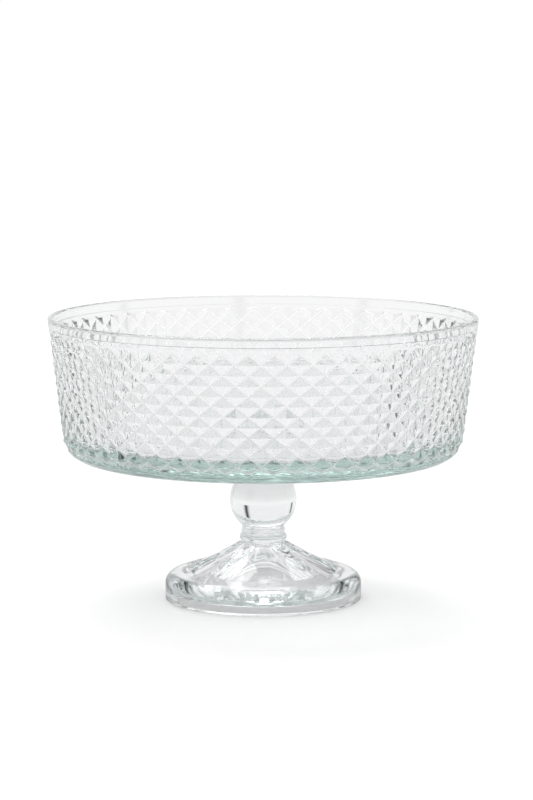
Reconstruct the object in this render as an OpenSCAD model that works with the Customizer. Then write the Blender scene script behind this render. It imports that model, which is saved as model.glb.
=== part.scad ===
// Footed trifle bowl in pressed glass.
// A straight-sided bowl with diamond-cut relief is bonded to a pedestal:
// ball knop, beaded collar and a hollow foot with scooped panels.
// Origin: centre of the foot's resting ring. +Z up, millimetres.

/* [Overall] */
// Outside diameter of the rim
rim_d = 230; // [200:1:260]
// Height of the bowl pressing, underside to rim
bowl_h = 76; // [66:1:100]

/* [Bowl] */
// Outward lean of the outer wall, in degrees
wall_draft = 6.8; // [5:0.1:9]
// Extra lean of the inner wall, which thickens the glass downwards, in degrees
plunger_draft = 1.4; // [0.5:0.1:2]
// Thickness of the wall at the rim
rim_wall = 3.2; // [2.8:0.1:4.5]
// Thickness of the flat floor
floor_t = 12; // [8:0.5:14]
// Outside radius between wall and underside
corner_r = 13; // [11:0.5:16]
// Inside radius between wall and floor
inner_corner_r = 4; // [3:0.5:7]
// Height of the slightly wider band inside the rim
lip_h = 5; // [3:0.5:7]
// Step at the lower edge of that band
lip_step = 0.4; // [0.2:0.1:0.6]

/* [Diamond relief] */
// Number of diamonds around the wall
diamonds = 54; // [44:2:64]
// Depth of the grooves below the plain band
diamond_depth = 1.3; // [0.8:0.1:1.5]
// Plain band between the rim and the first tips
plain_band = 8.6; // [7:0.2:12]
// Height of a diamond as a share of its width
diamond_share = 0.82; // [0.74:0.01:0.86]
// Turn of the diamonds from straight ahead, in degrees
diamond_turn = -0.5; // [-3:0.1:3]

/* [Knop and collar] */
// Diameter of the ball knop
knop_d = 36; // [32:1:44]
// Diameter of the waists between ball, beads and collar
waist_d = 22.4; // [18:0.2:23]
// Straight length of waist between the ball and a bead
waist_len = 0.8; // [0.2:0.1:3]
// Diameter of the beads under and over the ball
bead_d = 23.6; // [21:0.2:27]
// Radius of a bead's round edge
bead_r = 1.4; // [1:0.1:2]
// Diameter of the collar ring on top of the foot
collar_d = 25.4; // [23:0.2:29]
// Radius of the collar ring's round edge
collar_r = 2.4; // [1.8:0.1:3]
// Groove between the collar ring and the bead
collar_gap = 0.2; // [0.1:0.1:1]

/* [Bonded joint] */
// Diameter of the pedestal's flat seat
seat_d = 31; // [28:1:36]
// Height of the seat's flange
seat_h = 3.5; // [2.6:0.1:4.5]
// Length of waist between the upper bead and the seat's flange
seat_gap = 1.6; // [0.5:0.1:4]
// Radius of the seat's edge
seat_edge_r = 1.2; // [0.6:0.1:1.6]
// Thickness of the clear adhesive film
bond_t = 0.25; // [0.1:0.05:0.5]
// Bare margin from the film to the edge of the flat
bond_margin = 0.4; // [0.2:0.1:1]

/* [Foot] */
// Outside diameter of the foot
foot_d = 105.6; // [100:1:120]
// Height where the skirt meets the collar
skirt_z = 31.4; // [30:0.1:32]
// Radius of the skirt's concave curve
skirt_curve_r = 170; // [130:5:220]
// Height of the skirt at the panels' lower ends
skirt_end_z = 17.3; // [16:0.1:18.5]
// Radius of the rounded shoulder
shoulder_r = 6.5; // [5:0.1:7]
// Number of scooped panels
panels = 8; // [6:1:10]
// Turn of the panels from straight ahead, in degrees
panel_turn = 1; // [-5:0.5:5]
// Depth of a panel at its upper end
panel_top_depth = 0.5; // [0.2:0.05:0.6]
// Depth of a panel at its lower end
panel_end_depth = 2.4; // [1.5:0.1:2.6]
// Radius of a panel's scooped section
panel_scoop_r = 50; // [42:1:60]
// Width of the flat ring around the panels, in from the edge
border_w = 11.6; // [10:0.2:13]
// Width of the resting ring
rest_ring_w = 6.5; // [5:0.5:8]
// Height of the upright wall inside the resting ring
rest_ring_h = 4.5; // [3.5:0.1:5]
// Least glass above the hollow, at the foot's border
foot_glass = 10.5; // [9:0.1:11]
// Height of the small dome at the top of the hollow
dome_z = 29; // [26:0.5:29.5]
// Radius of that dome
dome_r = 4.5; // [3.5:0.5:6]
// Bevel on the resting ring's edges
rest_bevel = 0.8; // [0.4:0.1:1.2]

/* [Hidden] */
$fn = 180;

// Amount by which a flat face is set inside a round that it runs into, so that the two cross
blend = 0.01;
// Length by which cutting shapes run past what they cut
overrun = 2;
// Length by which a panel's scoop runs past both ends of the skirt
scoop_margin = 4;
// Gap that keeps the relief's high points just inside the plain bands
relief_gap = 0.03;
// Glass between the grooves and the plain core, as a share of the groove depth
core_cover_share = 0.15;
// Place of the relief's hidden back, as a share of the way from the core's skin to the cavity
back_share = 0.3;
// Depth and length of the relief's hidden flanges, as shares of the groove depth
flange_depth_share = 0.25;
flange_len_share = 0.8;
// Run-out of the grooves past the first and last tips, as a share of a half row
run_out_share = 0.3;
// Furthest place of the last tips around the outer corner, in degrees
last_tip_a = 50;

// Stem, stacked up from the skirt: collar ring, bead, ball, bead again, seat.
waist_r = waist_d / 2;
knop_r = knop_d / 2;
collar_z = skirt_z + collar_r;
bead_z = collar_z + collar_r + collar_gap + bead_r;
knop_z = bead_z + bead_r + waist_len + sqrt(knop_r * knop_r - waist_r * waist_r);
upper_bead_z = 2 * knop_z - bead_z;
seat_low_z = upper_bead_z + bead_r + seat_gap;
seat_z = seat_low_z + seat_h;

rim_r = rim_d / 2;
under_z = seat_z + bond_t;
rim_z = under_z + bowl_h;

// Rim crest: a full round between the two faces of the wall.
crest_r = rim_wall / 2;
crest_c = [rim_r - crest_r, rim_z - crest_r];
wall_out = [cos(wall_draft), -sin(wall_draft)];
wall_top = crest_c + (crest_r - blend) * wall_out;

// Outer corner, tangent to the wall line and to the underside.
corner_z = under_z + corner_r;
corner_c = [
    wall_top[0] - (wall_top[1] - corner_z) * tan(wall_draft) - corner_r / cos(wall_draft),
    corner_z
];
corner_top = corner_c + corner_r * wall_out;
wall_len = norm(wall_top - corner_top);

// Inner wall: the lip band, a small step, then the leaning wall down to its corner.
inner_draft = wall_draft + plunger_draft;
inner_out = [cos(inner_draft), -sin(inner_draft)];
floor_z = under_z + floor_t;
lip_top = crest_c - (crest_r - blend) * wall_out;
lip_low = lip_top - (lip_h - rim_z + lip_top[1]) * [tan(wall_draft), 1];
inner_top = lip_low - [lip_step, 0];
inner_corner_z = floor_z + inner_corner_r;
inner_corner_c = [
    inner_top[0] - (inner_top[1] - inner_corner_z) * tan(inner_draft)
        - inner_corner_r / cos(inner_draft),
    inner_corner_z
];
inner_corner_top = inner_corner_c + inner_corner_r * inner_out;

// A place on the outer skin, s down from the wall's top, sunk by d.
function skin_a(s) = -wall_draft - max(0, s - wall_len) / corner_r * 180 / PI;
function skin(s, d) = s < wall_len
    ? wall_top - s * [sin(wall_draft), cos(wall_draft)] - d * wall_out
    : corner_c + (corner_r - d) * [cos(skin_a(s)), sin(skin_a(s))];

// Rows of the relief: a half row follows the radius, so the diamonds keep their shape,
// and there are as many rows as fit above the underside.
half_row_share = diamond_share * PI / diamonds;
tips_s = plain_band - (rim_z - wall_top[1]);
function row_s(v) = v == 0 ? tips_s : row_s(v - 1) + half_row_share * skin(row_s(v - 1), 0)[0];
function last_row(v) = -skin_a(row_s(v + 2)) > last_tip_a ? v : last_row(v + 2);
half_rows = last_row(0);
rows_s = [for (v = [0:half_rows]) row_s(v)];
run_out = run_out_share * (rows_s[1] - rows_s[0]);
relief_top = rows_s[0] - run_out;
relief_end = rows_s[half_rows] + run_out;

// A groove's straight edges sag below the round corner, so the core lies deeper than that.
corner_sag = pow(half_row_share * rim_r, 2) / (8 * corner_r);
core_depth = (1 + core_cover_share) * diamond_depth + corner_sag;
back_depth = core_depth + back_share * (rim_wall - core_depth);
flange_depth = flange_depth_share * diamond_depth;
flange_len = flange_len_share * diamond_depth;

// The rings of the relief: a place down the skin, then the depths of its even and odd points.
function ring_row(v) = v % 2 == 0
    ? [rows_s[v], relief_gap, diamond_depth]
    : [rows_s[v], diamond_depth, relief_gap];
relief_rings = concat(
    [
        [relief_top - flange_len, back_depth, back_depth],
        [relief_top - flange_len, flange_depth, flange_depth],
        [relief_top + relief_gap, relief_gap, relief_gap]
    ],
    [for (v = [0:half_rows]) ring_row(v)],
    [
        [relief_end - relief_gap, relief_gap, relief_gap],
        [relief_end + flange_len, flange_depth, flange_depth],
        [relief_end + flange_len, back_depth, back_depth]
    ]
);
around = 2 * diamonds;
ring_count = len(relief_rings);
function relief_point(i, k) =
    let (
        ring = relief_rings[i],
        p = skin(ring[0], ring[1 + k % 2]),
        a = k * 360 / around + diamond_turn
    )
    [p[0] * sin(a), -p[0] * cos(a), p[1]];
function at(i, k) = (i % ring_count) * around + k % around;
function low(i, k) = relief_rings[i % ring_count][1 + k % 2] > relief_gap ? 1 : 0;
// A square of the net is split along a groove, or so that a lone low corner is cut off.
function split_down(i, k) = low(i, k) + low(i + 1, k + 1) == 2 || low(i, k + 1) + low(i + 1, k) == 1;
function net_square(i, k) = split_down(i, k)
    ? [[at(i, k), at(i, k + 1), at(i + 1, k + 1)], [at(i, k), at(i + 1, k + 1), at(i + 1, k)]]
    : [[at(i, k), at(i, k + 1), at(i + 1, k)], [at(i, k + 1), at(i + 1, k + 1), at(i + 1, k)]];

// Centre of the concave arc of radius r from a down to b, up and out from them.
function arc_centre(a, b, r) =
    let (m = (a + b) / 2, c = b - a, n = norm(c))
    m + [-c[1], c[0]] / n * sqrt(r * r - n * n / 4);

// Skirt of the foot: a concave arc from the collar, which the round shoulder touches.
foot_r = foot_d / 2;
border_r = foot_r - border_w;
skirt_top = [collar_d / 2, skirt_z];
skirt_end = [border_r, skirt_end_z];
skirt_c = arc_centre(skirt_top, skirt_end, skirt_curve_r);
panel_c = arc_centre(
    skirt_top - [0, panel_top_depth], skirt_end - [0, panel_end_depth], skirt_curve_r
);
shoulder_x = foot_r - shoulder_r;
shoulder_reach = skirt_curve_r + shoulder_r - 2 * blend;
shoulder_c = [
    shoulder_x,
    skirt_c[1] - sqrt(pow(shoulder_reach, 2) - pow(skirt_c[0] - shoulder_x, 2))
];
to_arc = skirt_c - shoulder_c;

// Hollow under the foot: an upright wall, a slanting ledge, a conical ceiling and a dome.
hollow_r = foot_r - rest_ring_w;
ceiling_end = [border_r, skirt_end_z - foot_glass - panel_end_depth / 2];
dome_c_z = dome_z - dome_r;
ceiling_slope = (dome_c_z - ceiling_end[1]) / (border_r - dome_r);

// Bowl

module outline_2d() {
    polygon([
        [0, under_z], [corner_c[0], under_z], corner_top, wall_top, crest_c, [0, crest_c[1]]
    ]);
    intersection() {
        translate(corner_c) circle(corner_r + blend);
        translate([corner_c[0], under_z]) square(2 * corner_r);
    }
}

module core_2d() {
    core_corner_r = corner_r - core_depth;
    polygon([
        [0, under_z + core_depth], corner_c - [0, core_corner_r - blend],
        corner_c + (core_corner_r - blend) * wall_out,
        wall_top - (core_depth + blend) * wall_out, [0, wall_top[1]]
    ]);
    translate(corner_c) circle(core_corner_r);
}

module above_relief_2d() {
    out = skin(relief_top, -overrun);
    polygon([
        skin(relief_top, core_depth + overrun), out,
        [out[0] + overrun, rim_z], [crest_c[0] - rim_wall, rim_z]
    ]);
}

module below_relief_2d() {
    out = skin(relief_end, -overrun);
    polygon([
        [0, under_z - overrun], [out[0], under_z - overrun], out,
        skin(relief_end, core_depth + overrun), [0, under_z + core_depth + overrun]
    ]);
}

module cavity_2d() {
    difference() {
        union() {
            polygon([
                [0, floor_z], [inner_corner_c[0], floor_z], inner_corner_top,
                inner_top, lip_low, lip_top, crest_c,
                [crest_c[0], rim_z + overrun], [0, rim_z + overrun]
            ]);
            intersection() {
                translate(inner_corner_c) circle(inner_corner_r + blend);
                translate([inner_corner_c[0], floor_z]) square(2 * inner_corner_r);
            }
        }
        translate(crest_c) circle(crest_r);
    }
}

module plain_bowl_2d() {
    difference() {
        union() {
            core_2d();
            intersection() {
                outline_2d();
                above_relief_2d();
            }
            intersection() {
                outline_2d();
                below_relief_2d();
            }
            translate(crest_c) circle(crest_r);
        }
        cavity_2d();
    }
}

module relief() {
    polyhedron(
        points = [for (i = [0:ring_count - 1], k = [0:around - 1]) relief_point(i, k)],
        faces = [for (i = [0:ring_count - 1], k = [0:around - 1], t = net_square(i, k)) t],
        convexity = 10
    );
}

module bowl() {
    color([0.72, 0.84, 0.80, 0.6]) union() {
        rotate_extrude() plain_bowl_2d();
        relief();
    }
}

// Bonded joint

module bond_film() {
    film_d = seat_d - 2 * (seat_edge_r + bond_margin);
    color([0.9, 0.9, 0.86, 0.5])
        translate([0, 0, seat_z])
            cylinder(h = bond_t, d = film_d);
}

// Pedestal

module bead_2d(z, d, r) {
    edge = d / 2 - r;
    translate([0, z - r]) square([edge, 2 * r]);
    intersection() {
        translate([edge, z]) circle(r + blend);
        translate([edge, z - r]) square(2 * r);
    }
}

module seat_2d() {
    flat_r = seat_d / 2 - seat_edge_r;
    translate([0, seat_low_z]) square([flat_r, seat_h]);
    translate([0, seat_low_z + seat_edge_r]) square([seat_d / 2, seat_h - 2 * seat_edge_r]);
    intersection() {
        union() {
            translate([flat_r, seat_z - seat_edge_r]) circle(seat_edge_r + blend);
            translate([flat_r, seat_low_z + seat_edge_r]) circle(seat_edge_r + blend);
        }
        translate([flat_r, seat_low_z]) square([2 * seat_edge_r, seat_h]);
    }
}

module stem_2d() {
    intersection() {
        translate([0, knop_z]) circle(knop_r);
        translate([0, knop_z - knop_d]) square(2 * knop_d);
    }
    bead_2d(bead_z, bead_d, bead_r);
    bead_2d(upper_bead_z, bead_d, bead_r);
    bead_2d(collar_z, collar_d, collar_r);
    translate([0, skirt_z - overrun]) square([waist_r, seat_z - skirt_z]);
    seat_2d();
}

module foot_2d() {
    difference() {
        polygon([
            [0, 0], [shoulder_x, 0], shoulder_c,
            shoulder_c + to_arc * (skirt_z - shoulder_c[1]) / to_arc[1], [0, skirt_z]
        ]);
        translate(skirt_c) circle(skirt_curve_r);
    }
    translate(shoulder_c) circle(shoulder_r);
    polygon([
        [0, 0], [foot_r - rest_bevel, 0], [foot_r - blend, rest_bevel],
        [foot_r - blend, shoulder_c[1]], [0, shoulder_c[1]]
    ]);
}

module hollow_2d() {
    polygon([
        [0, -overrun], [hollow_r + rest_bevel + overrun, -overrun], [hollow_r, rest_bevel],
        [hollow_r, rest_ring_h], ceiling_end, [0, dome_c_z + dome_r * ceiling_slope]
    ]);
    intersection() {
        translate([0, dome_c_z]) circle(dome_r);
        translate([0, dome_c_z - dome_r]) square(2 * dome_r);
    }
}

// One scoop: a thick ring whose lowest stretch runs down the skirt.
module panel_scoop() {
    margin_a = scoop_margin / skirt_curve_r * 180 / PI;
    from_a = atan2(skirt_top[1] - panel_c[1], skirt_top[0] - panel_c[0]) - margin_a;
    to_a = atan2(skirt_end[1] - panel_c[1], skirt_end[0] - panel_c[0]) + margin_a;
    translate([panel_c[0], 0, panel_c[1]])
        rotate([90, 0, 0])
            rotate([0, 0, from_a])
                rotate_extrude(angle = to_a - from_a)
                    intersection() {
                        translate([skirt_curve_r - panel_scoop_r, 0]) circle(panel_scoop_r);
                        translate([0, -panel_scoop_r]) square([skirt_curve_r, 2 * panel_scoop_r]);
                    }
}

module foot() {
    difference() {
        rotate_extrude() foot_2d();
        intersection() {
            for (k = [0:panels - 1])
                rotate([0, 0, (k + 0.5) * 360 / panels - 90 + panel_turn]) panel_scoop();
            cylinder(h = skirt_z + overrun, r = border_r);
        }
    }
}

module pedestal() {
    color([0.86, 0.89, 0.88, 0.6]) difference() {
        union() {
            foot();
            rotate_extrude() stem_2d();
        }
        rotate_extrude() hollow_2d();
    }
}

bowl();
bond_film();
pedestal();
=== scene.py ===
"""A footed trifle bowl in pressed glass: its looks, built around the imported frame.

Lengths are in metres. The bowl and the pedestal are turned around the Z axis from
outlines, and the diamonds and panels are then pressed into their outer skins.
"""

import math

import bpy
import numpy as np
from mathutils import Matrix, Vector


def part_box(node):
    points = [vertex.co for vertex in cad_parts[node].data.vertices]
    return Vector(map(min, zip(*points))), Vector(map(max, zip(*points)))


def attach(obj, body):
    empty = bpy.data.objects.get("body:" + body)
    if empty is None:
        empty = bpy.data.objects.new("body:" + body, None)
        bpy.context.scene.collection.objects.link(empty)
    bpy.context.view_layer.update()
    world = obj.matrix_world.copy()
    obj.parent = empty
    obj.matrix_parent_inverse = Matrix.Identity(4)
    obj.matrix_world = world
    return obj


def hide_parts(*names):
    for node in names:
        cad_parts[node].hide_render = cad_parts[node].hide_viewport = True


bl_info = {
    "name": "Pressed-glass trifle bowl",
    "version": (1, 0, 0),
    "blender": (4, 5, 0),
    "location": "View3D > Sidebar > Trifle Bowl",
    "description": "A footed trifle bowl with diamond relief, its glass and its stage",
    "category": "Add Mesh",
}

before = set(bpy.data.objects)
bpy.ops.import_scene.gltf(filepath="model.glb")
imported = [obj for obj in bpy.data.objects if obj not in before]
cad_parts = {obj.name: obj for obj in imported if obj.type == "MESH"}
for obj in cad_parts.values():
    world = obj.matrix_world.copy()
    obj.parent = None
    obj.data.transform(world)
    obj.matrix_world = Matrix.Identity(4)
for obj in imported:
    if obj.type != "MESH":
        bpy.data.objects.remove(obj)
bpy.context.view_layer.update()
BOWL_LOW, BOWL_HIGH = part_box("bowl")
PEDESTAL_LOW, PEDESTAL_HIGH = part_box("pedestal")
FILM_LOW, FILM_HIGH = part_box("bond_film")
MM = 0.001


# Settings

def length_field(name, description, default):
    return bpy.props.FloatProperty(
        name=name, description=description, default=default, subtype="DISTANCE", unit="LENGTH")


def angle_field(name, description, degrees):
    return bpy.props.FloatProperty(
        name=name, description=description, default=math.radians(degrees),
        subtype="ANGLE", unit="ROTATION")


def share_field(name, description, default):
    return bpy.props.FloatProperty(
        name=name, description=description, default=default, subtype="FACTOR")


def number_field(name, description, default):
    return bpy.props.FloatProperty(name=name, description=description, default=default)


def count_field(name, description, default):
    return bpy.props.IntProperty(name=name, description=description, default=default)


def colour_field(name, description, default):
    return bpy.props.FloatVectorProperty(
        name=name, description=description, default=default, subtype="COLOR", size=3)


class BowlSizes(bpy.types.PropertyGroup):
    """Sizes of the bowl pressing."""

    wall_draft: angle_field("Wall draft", "Outward lean of the wall", 6.8)
    plunger_draft: angle_field("Plunger draft", "Extra lean of the inner wall", 1.4)
    rim_wall: length_field("Rim wall", "Thickness of the wall at the rim", 3.2 * MM)
    floor_t: length_field("Floor", "Thickness of the flat floor", 12 * MM)
    corner_r: length_field("Outer corner", "Radius between wall and underside", 13 * MM)
    inner_corner_r: length_field("Inner corner", "Radius between wall and floor", 4 * MM)
    lip_h: length_field("Lip height", "Height of the wider band inside the rim", 5 * MM)
    lip_step: length_field("Lip step", "Step at the lower edge of that band", 0.4 * MM)
    soft_r: length_field("Polish", "How far the flame has rounded the plain edges", 0.35 * MM)


class ReliefSizes(bpy.types.PropertyGroup):
    """Sizes of the diamonds pressed into the wall."""

    diamonds: count_field("Diamonds", "Number of diamonds around the wall", 54)
    half_rows: count_field("Half rows", "Half rows from the top tips to the bottom tips", 12)
    depth: length_field("Depth", "Depth of the softened grooves below the plain band", 1.2 * MM)
    plain_band: length_field("Plain band", "Height of the band above the first tips", 8.6 * MM)
    height_share: share_field("Height share", "Height of a diamond as a share of its width", 0.82)
    run_out_share: share_field(
        "Run-out", "Run-out past the last tips as a share of a half row", 0.3)
    turn: angle_field("Turn", "Turn of the diamonds from straight ahead", -0.5)
    groove_w: length_field("Groove rounding", "Half width of the rounded groove bottoms", 0.5 * MM)
    ridge_share: share_field(
        "Ridge rounding", "Rounding of the ridges as a share of the grooves'", 0.35)


class PedestalSizes(bpy.types.PropertyGroup):
    """Sizes of the pedestal pressing."""

    knop_r: length_field("Knop radius", "Radius of the ball knop", 18 * MM)
    waist_r: length_field("Waist radius", "Radius of the waists", 11.2 * MM)
    waist_len: length_field("Waist length", "Straight waist between ball and bead", 0.8 * MM)
    bead_out_r: length_field("Bead radius", "Outer radius of the beads", 11.8 * MM)
    bead_r: length_field("Bead round", "Radius of a bead's edge", 1.4 * MM)
    collar_out_r: length_field("Collar radius", "Outer radius of the collar ring", 12.7 * MM)
    collar_r: length_field("Collar round", "Radius of the collar ring's edge", 2.4 * MM)
    collar_gap: length_field("Collar gap", "Groove between collar ring and bead", 0.2 * MM)
    seat_r: length_field("Seat radius", "Radius of the seat's flange", 15.5 * MM)
    seat_h: length_field("Seat height", "Height of the seat's flange", 3.5 * MM)
    seat_edge_r: length_field("Seat edge", "Radius of the flange's edges", 1.2 * MM)
    skirt_z: length_field("Skirt top", "Height where the skirt meets the collar", 31.4 * MM)
    skirt_curve_r: length_field("Skirt curve", "Radius of the skirt's concave curve", 170 * MM)
    skirt_end_z: length_field(
        "Skirt end", "Height of the skirt at the panels' lower ends", 17.3 * MM)
    shoulder_r: length_field("Shoulder", "Radius of the rounded shoulder", 6.5 * MM)
    border_w: length_field("Border", "Width of the ring around the panels", 11.6 * MM)
    rest_ring_w: length_field("Resting ring", "Width of the resting ring", 6.5 * MM)
    rest_ring_h: length_field(
        "Ring wall", "Height of the upright wall inside the resting ring", 4.5 * MM)
    rest_bevel: length_field("Ring bevel", "Bevel on the resting ring's edges", 0.8 * MM)
    foot_glass: length_field("Foot glass", "Least glass above the hollow at the border", 10.5 * MM)
    dome_z: length_field("Dome height", "Height of the small dome in the hollow", 29 * MM)
    dome_r: length_field("Dome radius", "Radius of that dome", 4.5 * MM)
    panels: count_field("Panels", "Number of scooped panels", 8)
    panel_turn: angle_field("Panel turn", "Turn of the panels from straight ahead", 1)
    panel_top_depth: length_field("Panel top depth", "Depth of a panel at its upper end", 0.5 * MM)
    panel_end_depth: length_field("Panel end depth", "Depth of a panel at its lower end", 2.4 * MM)
    panel_scoop_r: length_field("Panel scoop", "Radius of a panel's scooped section", 50 * MM)
    soft_r: length_field("Polish", "How far the flame has rounded the edges", 0.3 * MM)


class GlassLooks(bpy.types.PropertyGroup):
    """Colours and surface of the glass."""

    bowl_tint: colour_field(
        "Bowl tint", "Colour that thick glass of the bowl lets through", (0.48, 0.65, 0.61))
    bowl_density: number_field("Bowl density", "How fast the bowl's glass colours with depth", 7.5)
    pedestal_tint: colour_field(
        "Pedestal tint", "Colour that thick glass of the pedestal lets through",
        (0.50, 0.73, 0.69))
    pedestal_density: number_field(
        "Pedestal density", "How fast the pedestal's glass colours", 3.0)
    ior: number_field("Index", "Refractive index of soda-lime glass", 1.52)
    ripple: length_field("Ripple", "Depth of the mould's ripples", 0.03 * MM)
    # Painted highlight: white matt and see-through shading mixed into the groove bottoms stands in
    # for the glints along the grooves
    glint: share_field("Groove frost", "How white the bottoms of the grooves are", 0.65)
    glint_from: share_field(
        "Glint from", "Share of the groove's depth where the white begins", 0.9)


class StageLooks(bpy.types.PropertyGroup):
    """Camera, floor and light."""

    lens: number_field("Lens", "Focal length for a 36 mm long side", 138.6)
    camera_back: length_field("Camera distance", "Distance from the bowl's axis", 1.635)
    camera_z: length_field("Camera height", "Height above the floor", 0.3216)
    camera_side: length_field("Camera side", "Sideways place of the camera", 0.00175)
    camera_pitch: angle_field("Camera pitch", "How far the camera looks down", 7.46)
    floor_colour: colour_field("Floor", "Colour of the floor", (0.64, 0.64, 0.64))
    soft_panels: count_field("Soft panels", "Number of soft panels around the bowl", 5)
    gap_a: angle_field("Gap place", "Direction of one gap, turned from straight right", 67.5)
    gap_power: number_field("Gap sharpness", "How narrow the gaps between the panels are", 50.0)
    gap_depth: number_field("Gap depth", "How dark the gaps are", 1.0)
    side_from: share_field(
        "Side light from", "Where the light towards the sides starts to whiten", 0.2)
    lift: number_field("Floor lift", "Light added to the floor so that it reads as white", 0.345)
    far_lift: number_field("Far lift", "The same for the far floor seen in the glass", 0.13)
    far_from: length_field("Far lift from", "Distance from the axis where it starts", 0.3)
    far_to: length_field("Far lift to", "Distance from the axis where it is complete", 0.7)
    gathered: number_field("Gathered light", "Light that the glass gathers under the foot", 0.3)
    gathered_r: length_field("Gathered radius", "How far out that light reaches", 0.08)
    floor_r: length_field("Floor radius", "Radius of the round floor", 30.0)


SETTINGS = {
    "trifle_bowl": BowlSizes,
    "trifle_relief": ReliefSizes,
    "trifle_pedestal": PedestalSizes,
    "trifle_glass": GlassLooks,
    "trifle_stage": StageLooks,
}


# Outlines

# How many times its own spread the weights that round an outline reach to each side
WEIGHTS_REACH = 3
# Fewest steps of a rounded outline
FEWEST_STEPS = 8


def spot(r, z):
    """A point of an outline: its distance from the axis and its height."""
    return np.array([r, z], float)


def arc(centre, radius, start, end, count):
    """Points on an arc from one angle to another, both in radians."""
    angles = np.linspace(start, end, count)
    return [centre + radius * spot(math.cos(a), math.sin(a)) for a in angles]


def arc_centre(a, b, radius):
    """Centre of the concave arc from a down to b, up and out from them."""
    chord = b - a
    length = np.linalg.norm(chord)
    rise = math.sqrt(radius ** 2 - length ** 2 / 4)
    return (a + b) / 2 + spot(-chord[1], chord[0]) / length * rise


def softened(points, reach, step):
    """The outline with its corners rounded over about reach, as points a step or more apart."""
    points = np.array(points)
    along = np.concatenate([[0], np.cumsum(np.linalg.norm(np.diff(points, axis=0), axis=1))])
    count = max(FEWEST_STEPS, int(round(along[-1] / step)))
    even = np.linspace(0, along[-1], count + 1)
    line = np.stack([np.interp(even, along, points[:, i]) for i in (0, 1)], 1)
    half = max(1, int(round(WEIGHTS_REACH * reach / step)))
    weights = np.exp(-0.5 * (np.arange(-half, half + 1) * step / reach) ** 2)
    weights /= weights.sum()
    before = 2 * line[0] - line[half:0:-1]
    after = 2 * line[-1] - line[-2:-half - 2:-1]
    padded = np.concatenate([before, line, after])
    return np.stack([np.convolve(padded[:, i], weights, "valid") for i in (0, 1)], 1)


def thinned(line, bend, longest):
    """Some points of a smooth line: a next one after a turn of bend or a distance of longest."""
    kept = [line[0]]
    turned = 0.0
    for i in range(1, len(line) - 1):
        before, after = line[i] - line[i - 1], line[i + 1] - line[i]
        cross = before[0] * after[1] - before[1] * after[0]
        turned += abs(math.atan2(cross, float(before @ after)))
        if turned > bend or np.linalg.norm(line[i] - kept[-1]) > longest:
            kept.append(line[i])
            turned = 0.0
    kept.append(line[-1])
    return kept


# Meshes

# Keeps a point with no area around it from being divided by zero
LEAST_LENGTH = 1e-12


def ring(point, columns, turn):
    """The points of a round ring through one outline point."""
    a = np.arange(columns) * 2 * math.pi / columns + turn
    r, z = point
    return np.stack([r * np.sin(a), -r * np.cos(a), np.full(columns, z)], 1)


def turned_mesh(name, rings, columns, splits=None):
    """A mesh over rings that run from the bottom centre round the outside to the top centre.

    Where the first and last rings are single points, it is closed. splits says which way a
    ring's squares are halved, or None where they stay whole."""
    co = np.concatenate(rings)
    starts = np.cumsum([0] + [len(r) for r in rings])
    faces = []
    for i in range(len(rings) - 1):
        low, high = starts[i], starts[i + 1]
        for k in range(columns):
            m = (k + 1) % columns
            if len(rings[i]) == 1:
                faces.append((low, high + m, high + k))
            elif len(rings[i + 1]) == 1:
                faces.append((low + k, low + m, high))
            elif splits is None or splits(i, k) is None:
                faces.append((low + k, low + m, high + m, high + k))
            elif splits(i, k):
                faces.append((low + k, low + m, high + m))
                faces.append((low + k, high + m, high + k))
            else:
                faces.append((low + k, low + m, high + k))
                faces.append((low + m, high + m, high + k))
    mesh = bpy.data.meshes.new(name)
    mesh.from_pydata(co.tolist(), [], faces)
    mesh.validate()
    return mesh


def area_normals(mesh):
    """Shades the mesh smooth, with each point's normal led by its largest faces."""
    mesh.polygons.foreach_set("use_smooth", [True] * len(mesh.polygons))
    count = len(mesh.polygons)
    areas, normals = np.empty(count), np.empty(count * 3)
    mesh.polygons.foreach_get("area", areas)
    mesh.polygons.foreach_get("normal", normals)
    normals = normals.reshape(-1, 3) * areas[:, None]
    totals = np.empty(count, np.int32)
    mesh.polygons.foreach_get("loop_total", totals)
    corners = np.empty(len(mesh.loops), np.int32)
    mesh.loops.foreach_get("vertex_index", corners)
    sums = np.zeros((len(mesh.vertices), 3))
    np.add.at(sums, corners, np.repeat(normals, totals, axis=0))
    sums /= np.maximum(np.linalg.norm(sums, axis=1, keepdims=True), LEAST_LENGTH)
    mesh.normals_split_custom_set_from_vertices(sums.tolist())


def shown(name, mesh):
    """A new object of the scene."""
    piece = bpy.data.objects.new(name, mesh)
    bpy.context.scene.collection.objects.link(piece)
    return piece


def finished(piece, node, material):
    """Gives a piece its material, hangs it under the root body and hides the part's node that it
    shows instead.
    """
    piece.data.materials.clear()
    piece.data.materials.append(material)
    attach(piece, "root")
    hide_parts(node)


# Bowl

# Rings of the flat underside, as shares of its radius
UNDER_SHARES = (0.2, 0.4, 0.6, 0.8)
# Bend and distance after which the smooth part of the bowl gets its next ring
BOWL_BEND = math.radians(7)
BOWL_LONGEST = 12 * MM
# Depths, as shares of a groove's, between which a point belongs to the relief
RELIEF_SHARES = (-0.2, 1.02)


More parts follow.
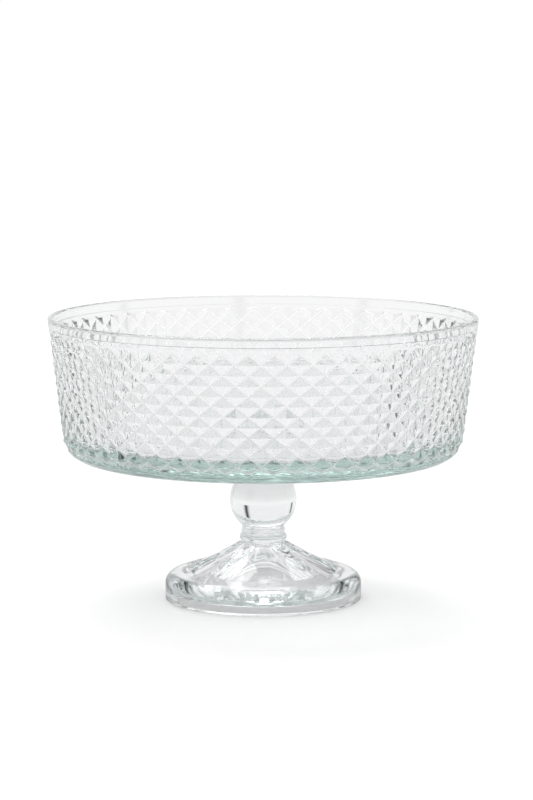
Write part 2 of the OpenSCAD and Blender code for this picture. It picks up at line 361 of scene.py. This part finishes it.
class BowlOutline:
    """The bowl's outline, worked out from its sizes and the frame."""

    def __init__(self, sizes, relief):
        self.sizes, self.relief = sizes, relief
        draft, inner = sizes.wall_draft, sizes.wall_draft + sizes.plunger_draft
        self.under_z, self.rim_z = BOWL_LOW.z, BOWL_HIGH.z
        rim_r = (BOWL_HIGH.x - BOWL_LOW.x) / 2
        self.crest_r = sizes.rim_wall / 2
        self.crest = spot(rim_r - self.crest_r, self.rim_z - self.crest_r)
        self.out = spot(math.cos(draft), -math.sin(draft))
        self.down = spot(-math.sin(draft), -math.cos(draft))
        self.wall_top = self.crest + self.crest_r * self.out
        corner_z = self.under_z + sizes.corner_r
        drop = (self.wall_top[1] - corner_z) * math.tan(draft)
        self.corner = spot(self.wall_top[0] - drop - sizes.corner_r / math.cos(draft), corner_z)
        self.wall_len = np.linalg.norm(self.wall_top - self.corner - sizes.corner_r * self.out)
        self.lip_top = self.crest - self.crest_r * self.out
        fall = sizes.lip_h - self.rim_z + self.lip_top[1]
        self.lip_low = self.lip_top - fall * spot(math.tan(draft), 1)
        self.inner_top = self.lip_low - spot(sizes.lip_step, 0)
        self.floor_z = self.under_z + sizes.floor_t
        inner_z = self.floor_z + sizes.inner_corner_r
        drop = (self.inner_top[1] - inner_z) * math.tan(inner)
        inner_r = self.inner_top[0] - drop - sizes.inner_corner_r / math.cos(inner)
        self.inner_corner = spot(inner_r, inner_z)
        self.inner_draft = inner

    def skin(self, s, depth):
        """A point of the outer skin, s down from the wall's top, sunk by depth."""
        if s < self.wall_len:
            return self.wall_top + s * self.down - depth * self.out
        a = -self.sizes.wall_draft - (s - self.wall_len) / self.sizes.corner_r
        return self.corner + (self.sizes.corner_r - depth) * spot(math.cos(a), math.sin(a))

    def rows(self):
        """How far down the skin each half row of the relief lies."""
        relief = self.relief
        places = [relief.plain_band - (self.rim_z - self.wall_top[1])]
        share = relief.height_share * math.pi / relief.diamonds
        for _ in range(relief.half_rows):
            places.append(places[-1] + share * self.skin(places[-1], 0)[0])
        return places


def bowl_rings(line):
    """The bowl's rings, and for each ring its row of the relief or None."""
    sizes, relief = line.sizes, line.relief
    columns = 2 * relief.diamonds
    rows = line.rows()
    run_out = relief.run_out_share * (rows[1] - rows[0])
    relief_end = rows[-1] + run_out
    end_a = -sizes.wall_draft - (relief_end - line.wall_len) / sizes.corner_r
    under = [spot(share * line.corner[0], line.under_z) for share in UNDER_SHARES]
    under += arc(line.corner, sizes.corner_r, -math.pi / 2, end_a, count=9)
    band = [line.skin(s, 0) for s in np.linspace(rows[0] - run_out, 0, num=4)]
    over = band[-1:] + arc(line.crest, line.crest_r, -sizes.wall_draft,
                           math.pi - sizes.wall_draft, count=21)[1:]
    over += [line.lip_low, line.inner_top]
    over += arc(line.inner_corner, sizes.inner_corner_r, -line.inner_draft, -math.pi / 2,
                count=25)
    over += [spot(line.inner_corner[0] / 3, line.floor_z)]
    soft = sizes.soft_r / 2
    inside = thinned(softened(over, soft, soft), BOWL_BEND, BOWL_LONGEST)

    def plain_rings(points):
        return [ring(point, columns, relief.turn) for point in points]

    rings = [np.array([[0, 0, line.under_z]])] + plain_rings(under)
    kinds = [None] * len(rings)
    for v in range(relief.half_rows, -1, -1):
        row, sunk = plain_rings(line.skin(rows[v], depth) for depth in (0, relief.depth))
        first_low = (v + 1) % 2
        row[first_low::2] = sunk[first_low::2]
        rings.append(row)
        kinds.append(v)
    rings += plain_rings(band[:-1] + inside) + [np.array([[0, 0, line.floor_z]])]
    kinds += [None] * (len(rings) - len(kinds))
    return rings, kinds, columns


def bowl_mesh(line):
    """The bowl with sharp diamonds, and how much each edge is to be rounded."""
    rings, kinds, columns = bowl_rings(line)

    def low(i, k):
        """Whether a point of the rings lies at the bottom of a groove."""
        return kinds[i] is not None and (k % columns + kinds[i]) % 2 == 1

    def splits(i, k):
        """Whether a square is halved from its first corner. None leaves it whole."""
        if kinds[i] is None and kinds[i + 1] is None:
            return None
        falling = low(i, k) + low(i + 1, k + 1)
        rising = low(i, k + 1) + low(i + 1, k)
        return falling == 2 or rising == 1

    mesh = turned_mesh("bowl_glass", rings, columns, splits)
    starts = np.cumsum([0] + [len(r) for r in rings])
    is_low = np.zeros(starts[-1], bool)
    in_relief = np.zeros(starts[-1], bool)
    for i, kind in enumerate(kinds):
        if kind is not None:
            in_relief[starts[i]:starts[i + 1]] = True
            is_low[starts[i]:starts[i + 1]] = [low(i, k) for k in range(columns)]
    attribute = mesh.attributes.new("bevel_weight_edge", "FLOAT", "EDGE")
    share = line.relief.ridge_share
    values = []
    for edge in mesh.edges:
        a, b = edge.vertices
        if is_low[a] and is_low[b]:
            values.append(1.0)
        elif is_low[a] or is_low[b] or (in_relief[a] and in_relief[b]):
            values.append(share)
        else:
            values.append(0.0)
    attribute.data.foreach_set("value", values)
    return mesh


def rounded(piece, width):
    """Rounds the weighted edges and keeps the result as the piece's own mesh."""
    bevel = piece.modifiers.new("rounding", "BEVEL")
    bevel.limit_method = "WEIGHT"
    bevel.width = width
    bevel.segments = 4
    bevel.profile = 0.5
    bevel.use_clamp_overlap = True
    bevel.loop_slide = False
    graph = bpy.context.evaluated_depsgraph_get()
    mesh = bpy.data.meshes.new_from_object(piece.evaluated_get(graph))
    piece.modifiers.clear()
    piece.data = mesh
    mesh.name = piece.name


def glint_mask(mesh, line, start):
    """Marks how near each point lies to the bottom of a groove, from start to the full depth: the
    mask of the painted highlight along the grooves.
    """
    co = np.empty(len(mesh.vertices) * 3)
    mesh.vertices.foreach_get("co", co)
    co = co.reshape(-1, 3)
    points = np.stack([np.hypot(co[:, 0], co[:, 1]), co[:, 2]], 1)
    corner_r = line.sizes.corner_r
    wall = -(points - line.wall_top) @ line.out
    corner = corner_r - np.linalg.norm(points - line.corner, axis=1)
    wall_end = (line.corner + corner_r * line.out)[1]
    share = np.where(points[:, 1] > wall_end, wall, corner) / line.relief.depth
    near = np.clip((share - start) / (1 - start), 0, 1)
    near[(share < RELIEF_SHARES[0]) | (share > RELIEF_SHARES[1])] = 0
    mesh.attributes.new("groove", "FLOAT", "POINT").data.foreach_set("value", near)


# Pedestal

# Columns of points across one panel
PANEL_COLUMNS = 45
# Bend and distance after which the plain parts and the skirt get their next ring
PLAIN_BEND = math.radians(6)
PLAIN_LONGEST = 3 * MM
SKIRT_BEND = math.radians(0.7)
SKIRT_LONGEST = 0.7 * MM
# Where the collar ring leaves the skirt: the way in from its edge as a share of its round
# edge's radius, and the direction in which that edge starts
COLLAR_IN_SHARE = 0.35
COLLAR_FROM_A = math.radians(-55)
# How far the step at the panels' ends begins beyond the border and how long it runs, both in
# polish radii
STEP_BEYOND = 3
STEP_RUN = 4


def pedestal_outlines(sizes):
    """The pedestal's outline as three lines: up to the skirt, the skirt's arc, and the stem.

    The centres of the skirt's and the panels' arcs and the border's radius follow them."""
    foot_r = (PEDESTAL_HIGH.x - PEDESTAL_LOW.x) / 2
    border_r = foot_r - sizes.border_w
    skirt_top = spot(sizes.collar_out_r, sizes.skirt_z)
    skirt_end = spot(border_r, sizes.skirt_end_z)
    curve = sizes.skirt_curve_r
    skirt = arc_centre(skirt_top, skirt_end, curve)
    panel = arc_centre(skirt_top - spot(0, sizes.panel_top_depth),
                       skirt_end - spot(0, sizes.panel_end_depth), curve)
    shoulder_x = foot_r - sizes.shoulder_r
    reach = curve + sizes.shoulder_r
    shoulder = spot(shoulder_x, skirt[1] - math.sqrt(reach ** 2 - (skirt[0] - shoulder_x) ** 2))
    to_arc = skirt - shoulder
    touch_a = math.atan2(to_arc[1], to_arc[0])

    hollow_r = foot_r - sizes.rest_ring_w
    ceiling_end = spot(border_r, sizes.skirt_end_z - sizes.foot_glass - sizes.panel_end_depth / 2)
    below = arc(spot(0, sizes.dome_z - sizes.dome_r), sizes.dome_r, math.pi / 2, 0, count=9)
    below += [ceiling_end, spot(hollow_r, sizes.rest_ring_h), spot(hollow_r, sizes.rest_bevel),
              spot(hollow_r + sizes.rest_bevel, 0), spot(foot_r - sizes.rest_bevel, 0),
              spot(foot_r, sizes.rest_bevel)]
    below += arc(shoulder, sizes.shoulder_r, 0, touch_a, count=30)

    touch = below[-1] - skirt
    top = skirt_top - skirt
    slope = arc(skirt, curve, math.atan2(touch[1], touch[0]), math.atan2(top[1], top[0]),
                count=200)

    collar = spot(sizes.collar_out_r - sizes.collar_r, sizes.skirt_z + sizes.collar_r)
    bead = spot(sizes.bead_out_r - sizes.bead_r,
                collar[1] + sizes.collar_r + sizes.collar_gap + sizes.bead_r)
    ball_a = math.acos(sizes.waist_r / sizes.knop_r)
    ball = spot(0, bead[1] + sizes.bead_r + sizes.waist_len + sizes.knop_r * math.sin(ball_a))
    upper = spot(bead[0], 2 * ball[1] - bead[1])
    collar_a = math.acos((sizes.waist_r - collar[0]) / sizes.collar_r)
    bead_a = math.acos((sizes.waist_r - bead[0]) / sizes.bead_r)
    seat_z = PEDESTAL_HIGH.z
    seat_low = seat_z - sizes.seat_h
    flat_r = sizes.seat_r - sizes.seat_edge_r
    above = [slope[-1],
             spot(sizes.collar_out_r - COLLAR_IN_SHARE * sizes.collar_r, sizes.skirt_z)]
    above += arc(collar, sizes.collar_r, COLLAR_FROM_A, collar_a, count=16)
    above += arc(bead, sizes.bead_r, -bead_a, bead_a, count=12)
    above += arc(ball, sizes.knop_r, -ball_a, ball_a, count=60)
    above += arc(upper, sizes.bead_r, -bead_a, bead_a, count=12)
    above += [spot(sizes.waist_r, seat_low)]
    above += arc(spot(flat_r, seat_low + sizes.seat_edge_r), sizes.seat_edge_r,
                 -math.pi / 2, 0, count=8)
    above += arc(spot(flat_r, seat_z - sizes.seat_edge_r), sizes.seat_edge_r,
                 0, math.pi / 2, count=8)
    above += [spot(flat_r / 3, seat_z)]
    return below, slope, above, skirt, panel, border_r


def pressed(points, sizes, skirt, panel, border_r, columns):
    """Rings of the skirt with the panels scooped out of them."""
    sector = 2 * math.pi / sizes.panels
    a = np.arange(columns) * 2 * math.pi / columns
    off = (a % sector) - sector / 2
    turned = a + sizes.panel_turn
    soft = sizes.soft_r
    rings = []
    for point in points:
        inward = (point - skirt) / np.linalg.norm(point - skirt)
        x, y = point[0] * np.cos(off), point[0] * np.sin(off)
        away = np.hypot(x - panel[0], point[1] - panel[1])
        depth = sizes.skirt_curve_r - sizes.panel_scoop_r - away
        depth = depth + np.sqrt(np.maximum(sizes.panel_scoop_r ** 2 - y ** 2, 0))
        depth = (depth + np.sqrt(depth ** 2 + soft ** 2)) / 2
        t = np.clip((border_r + STEP_BEYOND * soft - point[0]) / (STEP_RUN * soft), 0, 1)
        depth = depth * t * t * (3 - 2 * t)
        r, z = point[0] + inward[0] * depth, point[1] + inward[1] * depth
        rings.append(np.stack([r * np.sin(turned), -r * np.cos(turned), z], 1))
    return rings


# Node trees

class Signal:
    """A socket of a node tree. Sums with it add Math nodes."""

    def __init__(self, tree, socket):
        self.tree, self.socket = tree, socket

    def maths(self, operation, *values):
        return self.tree.node("ShaderNodeMath", {"operation": operation}, dict(enumerate(values)))

    def __add__(self, other):
        return self.maths("ADD", self, other)

    def __radd__(self, other):
        return self.maths("ADD", other, self)

    def __sub__(self, other):
        return self.maths("SUBTRACT", self, other)

    def __rsub__(self, other):
        return self.maths("SUBTRACT", other, self)

    def __mul__(self, other):
        return self.maths("MULTIPLY", self, other)

    def __rmul__(self, other):
        return self.maths("MULTIPLY", other, self)

    def __pow__(self, other):
        return self.maths("POWER", self, other)

    def least(self, other):
        return self.maths("MINIMUM", self, other)

    def greatest(self, other):
        return self.maths("MAXIMUM", self, other)

    def cosine(self):
        return self.maths("COSINE", self)

    def angle(self, across):
        return self.maths("ARCTAN2", self, across)


class Tree:
    """A node tree that is built up by calls."""

    def __init__(self, owner):
        owner.use_nodes = True
        self.nodes, self.links = owner.node_tree.nodes, owner.node_tree.links
        self.nodes.clear()

    def node(self, kind, settings=None, values=None, output=0):
        """Adds a node, sets its settings first and then its sockets, and gives one output."""
        made = self.nodes.new(kind)
        for name, value in (settings or {}).items():
            if name == "stops":
                ramp = made.color_ramp
                while len(ramp.elements) < len(value):
                    ramp.elements.new(1.0)
                for element, (place, colour) in zip(ramp.elements, value):
                    element.position, element.color = place, colour
            else:
                setattr(made, name, value)
        for name, value in (values or {}).items():
            if isinstance(value, Signal):
                self.links.new(value.socket, made.inputs[name])
            else:
                made.inputs[name].default_value = value
        return Signal(self, made.outputs[output]) if made.outputs else None


WHITE = (1, 1, 1, 1)
BLACK = (0, 0, 0, 1)

# Patches of wear on the glass: their scale, the least noise that dulls and how much it does,
# and the faint lilac where there is no wear
WEAR_SCALE = 160.0
WEAR_FROM = 0.45
WEAR_DULLS = 0.06
UNWORN = (0.99, 0.985, 0.995, 1)
# Scale of the mould's ripples
RIPPLE_SCALE = 45.0
# Light that the matt white in the groove bottoms throws back, part of the painted highlight along
# the grooves
GLINT_GREY = (0.35, 0.35, 0.35, 1)
# Bubbles in the adhesive: their scale, their radius in cells and how much they dull
BUBBLE_SCALE = 700.0
BUBBLE_R = 0.35
BUBBLE_DULLS = 0.1
ADHESIVE_COLOUR = (0.97, 0.98, 0.97, 1)


def blended(tree, share, first, second):
    """A colour that goes from first to second as share goes from 0 to 1."""
    return tree.node("ShaderNodeMix", {"data_type": "RGBA"},
                     {"Factor": share, "A": first, "B": second}, output=2)


def glass(name, tint, density, looks, glint=0):
    """Clear pressed glass: it colours with depth and carries the mould's faint ripples.

    The last argument is how much white matt and see-through shading is mixed in where the groove
    attribute is 1: a painted highlight along the groove bottoms."""
    material = bpy.data.materials.new(name)
    tree = Tree(material)
    place = tree.node("ShaderNodeTexCoord", output="Object")
    ripples = tree.node("ShaderNodeTexNoise", {"noise_dimensions": "3D"},
                        {"Vector": place, "Scale": RIPPLE_SCALE, "Detail": 2.0, "Roughness": 0.45})
    bump = tree.node("ShaderNodeBump", None,
                     {"Strength": 1.0, "Distance": looks.ripple, "Height": ripples})
    wear = tree.node("ShaderNodeTexNoise", {"noise_dimensions": "3D"},
                     {"Vector": place, "Scale": WEAR_SCALE, "Detail": 3.0, "Roughness": 0.6})
    dull = (wear - WEAR_FROM).greatest(0.0) * WEAR_DULLS
    surface = tree.node("ShaderNodeBsdfPrincipled", None, {
        "Base Color": blended(tree, wear, UNWORN, WHITE), "Roughness": dull, "IOR": looks.ior,
        "Transmission Weight": 1.0, "Normal": bump})
    # Painted highlight: white matt and see-through shading mixed into the groove bottoms
    if glint:
        groove = tree.node("ShaderNodeAttribute", {"attribute_name": "groove"}, output=2)
        lit_through = tree.node("ShaderNodeBsdfTranslucent", None, {"Color": WHITE})
        lit = tree.node("ShaderNodeBsdfDiffuse", None, {"Color": GLINT_GREY})
        white = tree.node("ShaderNodeAddShader", None, {0: lit_through, 1: lit})
        surface = tree.node("ShaderNodeMixShader", None, {0: groove * glint, 1: surface, 2: white})
    volume = tree.node("ShaderNodeVolumeAbsorption", None, {
        "Color": (*tint, 1.0), "Density": density})
    tree.node("ShaderNodeOutputMaterial", None, {"Surface": surface, "Volume": volume})
    return material


def adhesive(looks):
    """Clear cured adhesive, with fine bubbles in its surface."""
    material = bpy.data.materials.new("clear_adhesive")
    tree = Tree(material)
    place = tree.node("ShaderNodeTexCoord", output="Object")
    cells = tree.node("ShaderNodeTexVoronoi", {"feature": "F1"},
                      {"Vector": place, "Scale": BUBBLE_SCALE})
    dull = (BUBBLE_R - cells).greatest(0.0) * BUBBLE_DULLS
    surface = tree.node("ShaderNodeBsdfPrincipled", None, {
        "Base Color": ADHESIVE_COLOUR, "Roughness": dull, "IOR": looks.ior,
        "Transmission Weight": 1.0})
    tree.node("ShaderNodeOutputMaterial", None, {"Surface": surface})
    return material


def light_path(tree, *names):
    """The named outputs of a Light Path node."""
    tree.node("ShaderNodeLightPath")
    outputs = tree.nodes[-1].outputs
    return [Signal(tree, outputs[name]) for name in names]


def floor_material(looks):
    """A pale matt floor that reads as white to the camera.

    Seen in the glass, it has the light that the glass gathers under the foot, and far from the
    axis some more."""
    material = bpy.data.materials.new("pale_floor")
    tree = Tree(material)
    camera, gloss, through = light_path(
        tree, "Is Camera Ray", "Is Glossy Ray", "Is Transmission Ray")
    place = tree.node("ShaderNodeTexCoord", output="Object")
    away = tree.node("ShaderNodeVectorMath", {"operation": "LENGTH"}, {0: place}, output=1)
    gathered = (1.0 - (away * (1 / looks.gathered_r)) ** 2.0).greatest(0.0) * looks.gathered
    reach = looks.far_to - looks.far_from
    far = ((away - looks.far_from) * (1 / reach)).greatest(0.0).least(1.0) * looks.far_lift
    lift = camera * looks.lift + (gloss + through).least(1.0) * (gathered + far)
    matt = tree.node("ShaderNodeBsdfDiffuse", None, {"Color": (*looks.floor_colour, 1)})
    glow = tree.node("ShaderNodeEmission", None, {"Color": WHITE, "Strength": lift})
    surface = tree.node("ShaderNodeAddShader", None, {0: matt, 1: glow})
    tree.node("ShaderNodeOutputMaterial", None, {"Surface": surface})
    return material


PANEL_GREY = (0.92, 0.915, 0.925, 1)
BAND_GREY = (0.2, 0.199, 0.201, 1)
# The studio from the horizon up, by the sine of the height: panels, the dark band, the white top
STUDIO_STOPS = ((0.0, PANEL_GREY), (0.45, PANEL_GREY), (0.5, BAND_GREY), (0.6, BAND_GREY),
                (0.65, WHITE))
# Where the gaps between the panels start to close, by the same sine, and how fast
GAP_TOP = 0.35
GAP_CLOSES = 4.0


def world_light(looks):
    """White for the camera and for matt surfaces.

    Glass sees soft panels with gaps between them below a dark band, and white to the sides."""
    world = bpy.data.worlds.new("soft_studio")
    bpy.context.scene.world = world
    tree = Tree(world)
    camera, gloss, through, matt = light_path(
        tree, "Is Camera Ray", "Is Glossy Ray", "Is Transmission Ray", "Diffuse Depth")
    seen = (gloss + through).least(1.0) * (1.0 - matt.least(1.0))
    direction = tree.node("ShaderNodeTexCoord", output="Generated")
    tree.node("ShaderNodeSeparateXYZ", None, {0: direction})
    x, y, height = (Signal(tree, socket) for socket in tree.nodes[-1].outputs)
    dome = tree.node("ShaderNodeValToRGB", {"stops": STUDIO_STOPS}, {"Fac": height})
    side = ((x * x - looks.side_from) * (1 / (1 - looks.side_from))).greatest(0.0)
    dome = blended(tree, side, dome, WHITE)
    gap = 0.5 + 0.5 * ((y.angle(x) - looks.gap_a) * looks.soft_panels).cosine()
    gap = gap ** looks.gap_power * looks.gap_depth
    gap = gap * (1.0 - (height - GAP_TOP).greatest(0.0) * GAP_CLOSES).greatest(0.0)
    dome = blended(tree, gap, dome, BLACK)
    colour = blended(tree, camera, blended(tree, seen, WHITE, dome), WHITE)
    back = tree.node("ShaderNodeBackground", None, {"Color": colour, "Strength": 1.0})
    tree.node("ShaderNodeOutputWorld", None, {"Surface": back})


# Operators

# How far the film reaches into the glass on both sides, and how far its edge is drawn in
FILM_GRIP = 0.05 * MM
FILM_COLUMNS = 96
# The floor lies this far under the foot, so that no two faces meet
FLOOR_GAP = 0.05 * MM
FLOOR_COLUMNS = 64
# Radii of the floor's inner rings
FLOOR_INNER = (2.0, 0.5)


class TRIFLE_OT_bowl(bpy.types.Operator):
    """Make the bowl with its diamonds"""

    bl_idname = "trifle.bowl"
    bl_label = "Bowl"

    def execute(self, context):
        scene = context.scene
        line = BowlOutline(scene.trifle_bowl, scene.trifle_relief)
        piece = shown("bowl_glass", bowl_mesh(line))
        rounded(piece, scene.trifle_relief.groove_w)
        area_normals(piece.data)
        looks = scene.trifle_glass
        # The groove mask and share of the painted highlight along the grooves
        glint_mask(piece.data, line, looks.glint_from)
        finished(piece, "bowl",
                 glass("bowl_glass", looks.bowl_tint, looks.bowl_density, looks, looks.glint))
        return {"FINISHED"}


class TRIFLE_OT_pedestal(bpy.types.Operator):
    """Make the pedestal with its knop and panelled foot"""

    bl_idname = "trifle.pedestal"
    bl_label = "Pedestal"

    def execute(self, context):
        sizes = context.scene.trifle_pedestal
        columns = PANEL_COLUMNS * sizes.panels
        below, slope, above, skirt, panel, border_r = pedestal_outlines(sizes)

        def plain_rings(line):
            soft = sizes.soft_r / 2
            places = thinned(softened(line, soft, soft), PLAIN_BEND, PLAIN_LONGEST)
            return [ring(place, columns, sizes.panel_turn) for place in places]

        rings = plain_rings(below)
        rings[0] = np.array([[0, 0, rings[0][0][2]]])
        places = thinned(np.array(slope), SKIRT_BEND, SKIRT_LONGEST)
        rings += pressed(places, sizes, skirt, panel, border_r, columns)[1:]
        rings += plain_rings(above)[1:]
        rings.append(np.array([[0, 0, PEDESTAL_HIGH.z]]))
        piece = shown("pedestal_glass", turned_mesh("pedestal_glass", rings, columns))
        area_normals(piece.data)
        looks = context.scene.trifle_glass
        finished(piece, "pedestal",
                 glass("pedestal_glass", looks.pedestal_tint, looks.pedestal_density, looks))
        return {"FINISHED"}


class TRIFLE_OT_joint(bpy.types.Operator):
    """Make the film that bonds the bowl to the pedestal"""

    bl_idname = "trifle.joint"
    bl_label = "Bonded joint"

    def execute(self, context):
        film_r = (FILM_HIGH.x - FILM_LOW.x) / 2
        low, high = FILM_LOW.z - FILM_GRIP, FILM_HIGH.z + FILM_GRIP
        edge = [spot(film_r / 2, low), spot(film_r, low),
                spot(film_r - FILM_GRIP, (low + high) / 2),
                spot(film_r, high), spot(film_r / 2, high)]
        rings = [np.array([[0, 0, low]])] + [ring(p, FILM_COLUMNS, 0) for p in edge]
        rings.append(np.array([[0, 0, high]]))
        piece = shown("joint_film", turned_mesh("joint_film", rings, FILM_COLUMNS))
        area_normals(piece.data)
        finished(piece, "bond_film", adhesive(context.scene.trifle_glass))
        return {"FINISHED"}


def softbox(name, direction, spread, strength):
    """A soft, even light from one direction."""
    lamp = bpy.data.lights.new(name, "SUN")
    lamp.angle, lamp.energy = spread, strength
    holder = bpy.data.objects.new(name, lamp)
    bpy.context.scene.collection.objects.link(holder)
    holder.rotation_mode = "QUATERNION"
    holder.rotation_quaternion = Vector(direction).to_track_quat("Z", "Y")


class TRIFLE_OT_stage(bpy.types.Operator):
    """Make the floor, the light and the camera"""

    bl_idname = "trifle.stage"
    bl_label = "Stage"

    def execute(self, context):
        looks = context.scene.trifle_stage
        rings = [ring(spot(r, 0), FLOOR_COLUMNS, 0) for r in (looks.floor_r, *FLOOR_INNER)]
        rings.append(np.array([[0, 0, 0]]))
        floor = shown("floor", turned_mesh("floor", rings, FLOOR_COLUMNS))
        floor.location.z = -FLOOR_GAP
        floor.data.materials.append(floor_material(looks))
        world_light(looks)
        softbox("top_light", direction=(-7, 30, 60), spread=math.radians(36), strength=1.0)

        lens = bpy.data.cameras.new("camera")
        lens.sensor_width = 36
        lens.lens = looks.lens
        lens.clip_end = 100
        camera = bpy.data.objects.new("camera", lens)
        context.scene.collection.objects.link(camera)
        camera.location = (looks.camera_side, -looks.camera_back, looks.camera_z)
        camera.rotation_euler = (math.pi / 2 - looks.camera_pitch, 0, 0)
        context.scene.camera = camera
        context.scene.view_settings.view_transform = "Standard"
        cycles = context.scene.cycles
        cycles.max_bounces = 24
        cycles.transmission_bounces = 24
        cycles.glossy_bounces = 12
        cycles.diffuse_bounces = 4
        return {"FINISHED"}


class TRIFLE_PT_panel(bpy.types.Panel):
    """Lists the bowl's pieces and their sizes"""

    bl_idname = "TRIFLE_PT_panel"
    bl_label = "Trifle bowl"
    bl_space_type = "VIEW_3D"
    bl_region_type = "UI"
    bl_category = "Trifle Bowl"

    def draw(self, context):
        for operator in OPERATORS:
            self.layout.operator(operator.bl_idname)
        for name, group in SETTINGS.items():
            box = self.layout.box()
            box.label(text=group.__name__)
            for field in group.__annotations__:
                box.prop(getattr(context.scene, name), field)


OPERATORS = (TRIFLE_OT_bowl, TRIFLE_OT_pedestal, TRIFLE_OT_joint, TRIFLE_OT_stage)
CLASSES = (*SETTINGS.values(), *OPERATORS, TRIFLE_PT_panel)


def register():
    for entry in CLASSES:
        bpy.utils.register_class(entry)
    for name, group in SETTINGS.items():
        setattr(bpy.types.Scene, name, bpy.props.PointerProperty(type=group))


def unregister():
    for name in SETTINGS:
        delattr(bpy.types.Scene, name)
    for entry in reversed(CLASSES):
        bpy.utils.unregister_class(entry)


def main():
    register()
    bpy.ops.trifle.bowl()
    bpy.ops.trifle.pedestal()
    bpy.ops.trifle.joint()
    bpy.ops.trifle.stage()


if __name__ == "__main__":
    main()
